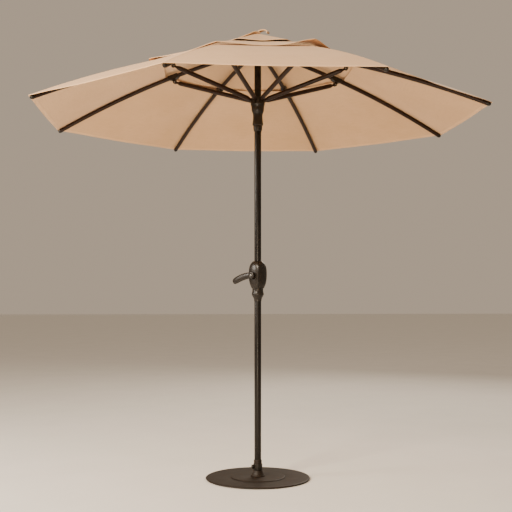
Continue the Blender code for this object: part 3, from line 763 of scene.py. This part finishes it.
def end_size(distance, radius):
    """Half height and half width of a tube at a distance from its crimped end's eye."""
    share = ease((distance - PRESSED_LENGTH) / FLARE_LENGTH)
    tall = EYE_RADIUS + (radius - EYE_RADIUS) * share
    wide = PRESSED_HALF + (radius - PRESSED_HALF) * share
    if distance < 0:
        tall *= math.sqrt(max(0.05, 1 - (distance / EYE_RADIUS) ** 2))
    return tall, wide


def build_rib(number, metal, plastic):
    """A bowed tube with a flat hub end, and the plug in its tip."""
    start = PRESSED_STATIONS[-1]
    distances = list(PRESSED_STATIONS)
    distances += [start + (RIB_REACH - 0.046) * k / 26 for k in range(1, 27)]
    stations = []
    for x in distances:
        tall, wide = end_size(x, RIB_RADIUS)
        height = rib_height(x) if x > 0 else rib_slope(0) * x
        centre = (PIVOT_RADIUS + x, 0, HUB_Z + height)
        stations.append((centre, (1, 0, rib_slope(max(x, 0))), tall, wide))
    tube = loft(f"rib_tube_{number}", crimped(stations), metal)
    show(to_rib(tube, number), f"rib_{number}", "rib_metal", f"rib_{number}")

    tip_x = RIB_REACH - 0.020
    tip_line = ((0, 0.0003), (0.001, 0.0006), (0.010, 0.0), (0.017, -0.0030), (0.0198, -0.0070))
    rings = []
    for out, grow in tip_line:
        x = tip_x + out
        centre = (PIVOT_RADIUS + x, 0, HUB_Z + rib_height(x))
        rings.append(circle(centre, (1, 0, rib_slope(x)), RIB_RADIUS + grow, 20))
    tip = loft(f"rib_tip_{number}", rings, plastic)
    show(to_rib(tip, number), f"rib_{number}", "dark_plastic")


def slab(name, corners, sides, material):
    """A flat piece from its corners in the X-Z plane, between two sides in Y."""
    return loft(name, [[(x, y, z) for x, z in corners] for y in sides], material)


def saddle_outline(top, bottom, half, ear, depth):
    """Side view of a strut joint: a saddle along the rib, with an ear round the pin below."""
    outline = [(-half, top - 0.005), (-half, bottom + 0.007), (-half + 0.010, bottom),
               (-0.0150, bottom), (-ear, bottom - 0.003)]
    for k in range(13):
        angle = math.pi + math.pi * k / 12
        outline.append((ear * math.cos(angle), -depth + ear * math.sin(angle)))
    outline += [(ear, bottom - 0.003), (0.0150, bottom), (half - 0.010, bottom),
                (half, bottom + 0.007), (half, top - 0.005), (half - 0.006, top), (-half + 0.006, top)]
    return outline


def build_rib_joint(number, plastic, steel):
    """The moulded joint on a rib that holds its strut, and the pin through both."""
    depth = rib_height(PIN_X) - PIN_Z
    slope = math.atan(rib_slope(PIN_X))
    top, bottom, half, ear = RIB_RADIUS - 0.0004, -RIB_RADIUS - 0.0045, 0.034, 0.0095
    outline = saddle_outline(top, bottom, half, ear, depth)
    body = slab(f"rib_joint_{number}", outline, (-0.0143, 0.0143), plastic)
    soften(body, 0.0016, 3, 40)
    slot_low, slot_high = -depth - 0.02, -depth + 0.0085
    corners = ((-0.03, slot_low), (0.03, slot_low), (0.03, slot_high), (-0.03, slot_high))
    cutters = [slab("slot", corners, (-SLOT_HALF, SLOT_HALF), plastic)]
    corners = ((-0.03, -0.06), (0.03, -0.06), (0.03, bottom - 0.002), (-0.03, bottom - 0.002))
    for side in (-1, 1):
        sides = sorted((side * 0.0085, side * 0.02))
        cutters.append(slab("shoulder", corners, sides, plastic))
    carve(body, cutters)
    # The joint is square to the rib, and its pin stays on the strut's axis
    lean = Matrix.Rotation(-slope, 4, "Y")
    back = Vector((PIN_X, 0, PIN_Z)) - lean @ Vector((0, 0, -depth))
    placed = Matrix.Translation((PIVOT_RADIUS, 0, HUB_Z)) @ Matrix.Translation(back) @ lean
    show(to_rib(transform(body, placed), number), f"rib_{number}", "dark_plastic")

    pin = rod(f"strut_pin_{number}", (0, -0.0102, -depth), (0, 0.0102, -depth), 0.0026, steel, 16)
    heads = []
    for side in (-1, 1):
        start, end = sorted((side * 0.0084, side * 0.0106))
        heads.append(rod("head", (0, start, -depth), (0, end, -depth), 0.0048, steel, 20))
    carve(pin, heads, "UNION")
    show(to_rib(transform(pin, placed), number), f"rib_{number}", "plain_steel")


def build_strut(number, metal, steel):
    """A straight tube pressed flat at both ends."""
    span = LINK_LENGTH
    distances = [*PRESSED_STATIONS, 0.10]
    path = distances + [span - d for d in reversed(distances)]
    way = Vector((-math.sin(OPEN_ANGLE), 0, -math.cos(OPEN_ANGLE)))
    start = Vector((PIVOT_RADIUS + PIN_X, 0, HUB_Z + PIN_Z))
    stations = []
    for distance in path:
        tall, wide = end_size(min(distance, span - distance), STRUT_RADIUS)
        stations.append((start + way * distance, way, tall, wide))
    tube = loft(f"strut_tube_{number}", crimped(stations), metal)
    show(to_rib(tube, number), f"strut_{number}", "rib_metal", f"strut_{number}")
    eye = start + way * span
    half = Vector((0, 0.0028, 0))
    sleeve = rod(f"strut_eyelet_{number}", eye - half, eye + half, 0.0040, steel, 16)
    show(to_rib(sleeve, number), f"strut_{number}", "plain_steel")


# Hub and runner -------------------------------------------------------------------------------


def slot_cutters(low, high, inner, material):
    """Eight radial slots for the ribs' or struts' flat ends."""
    cutters = []
    for number in RIB_NUMBERS:
        corners = ((inner, low), (0.06, low), (0.06, high), (inner, high))
        cutter = slab("slot", corners, (-SLOT_HALF, SLOT_HALF), material)
        cutters.append(to_rib(cutter, number))
    return cutters


def head_outline(pivot_z, radius, top):
    """The grooved upper part of a slotted head, from its rim to its bore."""
    groove = 0.0018
    return [
        (radius, top - 0.0025),
        (radius - 0.0025, top),
        (PIVOT_RADIUS + groove, top),
        (PIVOT_RADIUS + groove, pivot_z - groove),
        (PIVOT_RADIUS - groove, pivot_z - groove),
        (PIVOT_RADIUS - groove, top),
    ]


def build_hub(plastic):
    """The slotted hub and its domed cover."""
    low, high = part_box("top_hub")
    bore = POLE_RADIUS + RUNNING_GAP
    outline = [(bore, low.z), (high.x, low.z), *head_outline(HUB_Z, high.x, high.z), (bore, high.z)]
    hub = turned("hub_body", outline, plastic, 96, 0.0006)
    carve(hub, slot_cutters(low.z - 0.01, high.z + 0.01, 0.0255, plastic))
    show(hub, "stand", "dark_plastic", "top_hub")
    low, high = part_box("hub_cover")
    tall = high.z - low.z
    line = [(0.0380, 0.0), (0.0376, 0.25), (0.0330, 0.62), (0.0250, 0.88), (0.0085, 1.0)]
    outer = [(p.x, low.z + p.y * tall) for p in smooth_line([(*p, 0) for p in line], 16)]
    inner = [(max(r - 0.0026, 0.0082), z - 0.0026) for r, z in reversed(outer[1:])]
    cover = turned("hub_dome", outer + inner + [(0.0355, low.z)], plastic, 72, 0)
    show(cover, "stand", "dark_plastic", "hub_cover")


def build_runner(plastic):
    """The slotted runner with its waist, and the sleeve under it."""
    low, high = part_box("runner_body")
    bore = POLE_RADIUS + RUNNING_GAP
    foot = low.z
    waist = [(0.0303, 0.003), (0.0298, 0.012), (0.0280, 0.026), (0.0270, 0.040), (0.0268, 0.054),
             (0.0280, 0.066), (0.0325, 0.077), (0.0346, 0.086), (0.0352, 0.096), (0.0362, 0.106),
             (high.x, 0.117)]
    line = [(p.x, foot + p.y) for p in smooth_line([(*p, 0) for p in waist], 34)]
    outline = [(bore, foot), (0.0272, foot), *line, *head_outline(RUNNER_Z, high.x, high.z), (bore, high.z)]
    runner = turned("runner", outline, plastic, 96, 0.0005)
    carve(runner, slot_cutters(RUNNER_Z - 0.014, high.z + 0.01, 0.0255, plastic))
    show(runner, "runner", "dark_plastic", "runner_body")
    low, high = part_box("runner_sleeve")
    outline = [(bore, low.z), (0.0213, low.z), (0.0231, low.z + 0.005), (0.0247, low.z + 0.016),
               (0.0250, low.z + 0.024), (0.0250, high.z), (bore, high.z)]
    sleeve = turned("runner_skirt", outline, plastic, 72, 0.0007)
    show(sleeve, "runner", "dark_plastic", "runner_sleeve")


# Pole and crank -------------------------------------------------------------------------------


def build_pole(metal, plastic):
    """Both pole tubes and the collar round their joint."""
    for name, node in (("pole_lower_tube", "lower_pole"), ("pole_upper_tube", "upper_pole")):
        low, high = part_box(node)
        inner = POLE_RADIUS - POLE_WALL
        outline = [(inner, low.z), (POLE_RADIUS, low.z), (POLE_RADIUS, high.z), (inner, high.z)]
        show(turned(name, outline, metal, 64, 0.0004), "stand", "pole_metal", node)
    low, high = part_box("pole_coupling")
    inner = POLE_RADIUS + SNUG_GAP
    foot = low.z
    line = [(0.0205, 0.0), (0.0208, 0.008), (0.0240, 0.018), (0.0300, 0.029), (0.0330, 0.036),
            (0.0334, 0.043), (0.0316, 0.051), (0.0303, 0.058), (0.0304, 0.066), (0.0304, high.z - foot)]
    outer = [(p.x, foot + p.y) for p in smooth_line([(*p, 0) for p in line], 40)]
    collar = turned("pole_collar", [(inner, foot), *outer, (inner, high.z)], plastic, 72, 0.0004)
    show(collar, "stand", "dark_plastic", "pole_coupling")


HOUSING_LINE = [
    # half width, height share from the top, roundness: 2 is round, and 1 a diamond
    (0.0215, 0.000, 2.0), (0.0300, 0.030, 1.9), (0.0400, 0.110, 1.6), (0.0465, 0.210, 1.42),
    (0.0496, 0.330, 1.34), (0.0502, 0.460, 1.30), (0.0497, 0.600, 1.30), (0.0478, 0.730, 1.36),
    (0.0432, 0.860, 1.50), (0.0368, 0.960, 1.66), (0.0345, 1.000, 1.80),
]


def half_ring(width, z, roundness, side, inset, steps=40):
    """Half of a ridged ring, from the back ridge round one side to the front ridge."""
    ring = []
    for k in range(steps + 1):
        angle = -math.pi / 2 + math.pi * k / steps
        c, s = math.cos(angle), math.sin(angle)
        reach = (abs(c) ** roundness + abs(s) ** roundness) ** (-1 / roundness)
        x = max(width * reach * c, inset)
        ring.append((side * x, width * reach * s, z))
    return ring


def build_housing(plastic):
    """Two half shells with a fine parting line."""
    low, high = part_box("crank_housing_left")
    tall = high.z - low.z
    levels = smooth_line(HOUSING_LINE, 44)
    wall = 0.003
    for name, node, side in (("housing_left", "crank_housing_left", -1),
                             ("housing_right", "crank_housing_right", 1)):
        rings = []
        for width, share, roundness in levels:
            z = high.z - tall * share
            outer = half_ring(width, z, roundness, side, 0.0006)
            hollow = max(width - wall, POLE_RADIUS + 0.0004)
            inner = half_ring(hollow, z, 2.0 if hollow < 0.021 else roundness, side, 0.0006)
            rings.append(outer + inner[::-1])
        shell = loft(name, rings, plastic, sharp=28)
        if side < 0:
            ends = (CRANK_CENTRE + CRANK_OUT * 0.030, CRANK_CENTRE + CRANK_OUT * 0.060)
            carve(shell, [rod("bearing", *ends, 0.0056, plastic)], sharp=28)
        show(shell, "stand", "dark_plastic", node)


def build_housing_screws(steel):
    """Four cross-head screws that hold the half shells together."""
    side_out = Vector((math.sqrt(0.5), -math.sqrt(0.5), 0))
    for number, (z, depth) in enumerate(((1.186, 0.0375), (1.088, 0.0385)), start=1):
        for way, turn in (("front", 0), ("back", 90)):
            out = Matrix.Rotation(math.radians(turn), 3, "Z") @ side_out
            centre = Vector((0, 0, z))
            face = centre + out * depth
            screw = rod(f"housing_screw_{way}_{number}", centre + out * (depth - 0.004), face,
                        0.0034, steel, 20)
            middle = centre + out * (depth + 0.0004)
            cross = []
            for lean in (0, 90):
                arm = Matrix.Rotation(math.radians(lean), 3, out) @ Vector((0, 0, 0.0022))
                cross.append(rod("cross", middle - arm, middle + arm, 0.0008, steel, 8))
            carve(screw, cross)
            show(screw, "stand", "plain_steel")


def build_handle(plastic):
    """The curved crank lever on its round boss."""
    reach, drop, middle = 0.137, 0.038, 0.052
    sideways = Vector((CRANK_OUT.y, -CRANK_OUT.x, 0))
    sections = [
        (0.00, 0.0165, 0.0060), (0.15, 0.0175, 0.0068), (0.40, 0.0186, 0.0082),
        (0.65, 0.0190, 0.0092), (0.82, 0.0184, 0.0094), (0.92, 0.0164, 0.0086),
        (0.975, 0.0122, 0.0066), (1.00, 0.0050, 0.0030),
    ]
    rings = []
    bend, square = 1.9, 2.5
    for share, tall, thick in smooth_line(sections, 34):
        share = min(max(share, 0.0), 1.0)
        slope = -bend * drop / reach * share ** (bend - 1)
        centre = sideways * reach * share
        centre.z = -drop * share**bend
        across = (Vector((0, 0, 1)) - sideways * slope).normalized()
        ring = []
        for k in range(28):
            angle = 2 * math.pi * k / 28
            c, s = math.cos(angle), math.sin(angle)
            size = (abs(c) ** square + abs(s) ** square) ** (-1 / square)
            ring.append(centre + across * tall * size * c + CRANK_OUT * (middle + thick * size * s))
        rings.append(ring)
    lever = loft("crank_lever", rings, plastic, sharp=50)
    boss_outline = [(0.0053, 0.0440), (0.0170, 0.0440), (0.0195, 0.0465), (0.0195, 0.0570),
                    (0.0172, 0.0598), (0.0100, 0.0600), (0.0070, 0.0578), (0.0053, 0.0578)]
    boss = turned("boss", boss_outline, plastic, 64, 0.0010)
    transform(boss, Matrix.Rotation(math.atan2(CRANK_OUT.y, CRANK_OUT.x), 4, "Z")
              @ Matrix.Rotation(math.pi / 2, 4, "Y"))
    carve(lever, [boss], "UNION", 40)
    seat = rod("seat", CRANK_OUT * 0.0574, CRANK_OUT * 0.08, 0.0068, plastic)
    bore = rod("bore", CRANK_OUT * 0.035, CRANK_OUT * 0.0512, 0.0053, plastic)
    carve(lever, [seat, bore], sharp=40)
    transform(lever, Matrix.Translation(CRANK_CENTRE))
    show(lever, "crank", "dark_plastic", "crank_handle")


# Base -----------------------------------------------------------------------------------------


def build_base(metal, plastic):
    """Plate, raised cover, conical stem and its collar."""
    low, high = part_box("base_plate")
    outline = [(0.0064, 0.0078), (0.0110, 0.0076), (0.0110, low.z), (high.x - 0.0030, low.z),
               (high.x, low.z + 0.0024), (high.x, high.z - 0.0034), (high.x - 0.0022, high.z - 0.0010),
               (high.x - 0.0090, high.z), (0.0064, high.z)]
    plate = turned("plate", outline, metal, 160, 0.0010)
    show(plate, "stand", "base_metal", "base_plate")
    low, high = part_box("base_cover")
    outline = [(0.0064, low.z), (high.x, low.z), (high.x, low.z + 0.0012),
               (high.x - 0.0030, high.z - 0.0006), (high.x - 0.0075, high.z), (0.0064, high.z)]
    cover = turned("plate_cover", outline, metal, 128, 0.0008)
    show(cover, "stand", "base_metal", "base_cover")
    low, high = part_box("base_stem")
    foot = low.z
    bore = POLE_RADIUS + SNUG_GAP
    flare = [(0.0400, 0.0030, 0), (0.0352, 0.0085, 0), (0.0300, 0.0175, 0), (0.0256, 0.0318, 0)]
    cone = [(p.x, foot + p.y) for p in smooth_line(flare, 16)]
    outline = [(0.0062, foot), (0.0400, foot), *cone, (0.0222, foot + 0.0330),
               (0.0222, high.z - 0.004), (0.0210, high.z), (bore, high.z),
               (bore, foot + 0.016), (0.0062, foot + 0.016)]
    stem = turned("stem", outline, metal, 72, 0.0006)
    show(stem, "stand", "base_metal", "base_stem")
    low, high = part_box("stem_collar")
    outline = [(0.0225, low.z), (0.0246, low.z), (high.x, low.z + 0.0015), (high.x, high.z - 0.0015),
               (0.0246, high.z), (0.0225, high.z)]
    collar = turned("stem_ring", outline, plastic, 72, 0.0005)
    show(collar, "stand", "dark_plastic", "stem_collar")


def build_knob(plastic):
    """The six-lobed lock knob and its stud."""
    rings = []
    lobes = 6
    profile = [(0.0262, 0.0090, 0), (0.0268, 0.0100, 0.5), (0.0280, 0.0110, 1), (0.0348, 0.0110, 1),
               (0.0360, 0.0101, 0.6), (0.0367, 0.0080, 0)]
    for out, radius, depth in profile:
        ring = []
        for k in range(72):
            angle = 2 * math.pi * k / 72
            reach = radius + depth * 0.0009 * math.cos(lobes * angle)
            ring.append((reach * math.cos(angle), reach * math.sin(angle), out))
        rings.append(ring)
    knob = loft("knob", rings, plastic, sharp=45)
    turn = KNOB_OUT.to_track_quat("Z", "Y").to_matrix().to_4x4()
    transform(knob, Matrix.Translation(KNOB_CENTRE) @ turn)
    stud_foot = KNOB_CENTRE + KNOB_OUT * (POLE_RADIUS + SNUG_GAP)
    stud = rod("stud", stud_foot, KNOB_CENTRE + KNOB_OUT * 0.030, 0.0030, plastic)
    carve(knob, [stud], "UNION", 45)
    show(knob, "lock_knob", "dark_plastic", "lock_knob")


# Kept CAD nodes, stage and camera -------------------------------------------------------------


def dress_kept_nodes(looks):
    """Give the CAD nodes that stay their finish, and smooth their round faces."""
    for node, material in looks.items():
        obj = frame["nodes"][node]
        obj.data.materials.clear()
        obj.data.materials.append(material)
        weld = obj.modifiers.new("weld", "WELD")
        weld.merge_threshold = 0.00001
        bpy.context.view_layer.objects.active = obj
        bpy.ops.mesh.customdata_custom_splitnormals_clear()
        obj.data.shade_smooth()
        split = obj.modifiers.new("split", "EDGE_SPLIT")
        split.split_angle = math.radians(35)


def build_stage():
    """A pale floor, soft lights, and a level camera on the umbrella's front."""
    floor = bpy.data.meshes.new("floor")
    size = 40
    corners = [(-size, -size, 0), (size, -size, 0), (size, size, 0), (-size, size, 0)]
    floor.from_pydata(corners, [], [(0, 1, 2, 3)])
    floor.materials.append(soft_floor("pale_floor"))
    floor_object = bpy.data.objects.new("floor", floor)
    bpy.context.scene.collection.objects.link(floor_object)

    world = bpy.data.worlds.new("studio")
    bpy.context.scene.world = world
    world.use_nodes = True
    background = world.node_tree.nodes["Background"]
    background.inputs["Color"].default_value = (1.0, 0.80, 0.60, 1)
    background.inputs["Strength"].default_value = 0.46

    lights = (
        ("key", (-3.6, -4.4, 4.2), 1.8, 600, (1.0, 0.86, 0.68)),
        ("left", (-4.4, -0.9, 2.3), 1.0, 170, (1.0, 0.90, 0.78)),
        ("low", (-1.2, -4.9, 0.3), 1.2, 110, (1.0, 0.82, 0.60)),
        ("back", (2.6, 4.6, 4.0), 2.6, 150, (1.0, 0.88, 0.74)),
    )
    for name, place, side, power, colour in lights:
        lamp = bpy.data.lights.new(name, "AREA")
        lamp.size = side
        lamp.energy = power
        lamp.color = colour
        obj = bpy.data.objects.new(name, lamp)
        obj.location = place
        aim = Vector((0, 0, 1.5)) - Vector(place)
        obj.rotation_euler = aim.to_track_quat("-Z", "Y").to_euler()
        bpy.context.scene.collection.objects.link(obj)

    camera = bpy.data.cameras.new("camera")
    camera.sensor_width = 36
    camera.lens = 64.1
    camera.shift_x = -0.0035
    camera.shift_y = 0.0727
    view = bpy.data.objects.new("camera", camera)
    yaw = math.radians(4)
    away, eye_height = 5.08, 1.033
    view.location = (-away * math.sin(yaw), -away * math.cos(yaw), eye_height)
    view.rotation_euler = (math.pi / 2, 0, -yaw)
    bpy.context.scene.collection.objects.link(view)
    bpy.context.scene.camera = view


def main():
    """Build every piece and its finish."""
    cloth = canvas("beige_canvas", (0.70, 0.435, 0.230), (0.76, 0.490, 0.275), (0.47, 0.270, 0.128))
    strap_tones = (0.56, 0.35, 0.185), (0.62, 0.40, 0.225), (0.35, 0.205, 0.10)
    strap = canvas("beige_strap", *strap_tones, seams=False)
    pole = powder_coat("pole_coat", (0.006, 0.0045, 0.0035), (0.025, 0.019, 0.014), 0.30)
    rib = powder_coat("rib_coat", (0.014, 0.005, 0.002), (0.040, 0.018, 0.009), 0.40)
    base = powder_coat("base_coat", (0.013, 0.008, 0.005), (0.045, 0.031, 0.021), 0.48, 300, 0.00005)
    plastic = moulding("dark_moulding", (0.009, 0.0065, 0.0045), 0.34)
    steel = plated_steel("zinc_steel")

    build_base(base, plastic)
    build_knob(plastic)
    build_pole(pole, plastic)
    build_housing(plastic)
    build_housing_screws(steel)
    build_handle(plastic)
    build_runner(plastic)
    build_hub(plastic)
    for number in RIB_NUMBERS:
        build_rib(number, rib, plastic)
        build_rib_joint(number, plastic, steel)
        build_strut(number, rib, steel)
    build_canopy(cloth)
    build_button(strap)
    build_loop(strap)
    build_tail(strap)
    dress_kept_nodes({
        "foot_ring": rubber_skin("foot_rubber"), "stem_bolt": steel, "pole_spigot": pole,
        "crank_drum": steel, "handle_screw": steel, "brake_spring": steel, "hub_ring": steel,
        "runner_ring": steel, "pulley": plastic, "pulley_axle": steel, "lift_cord": braid("braided_cord"),
    })
    build_stage()


main()
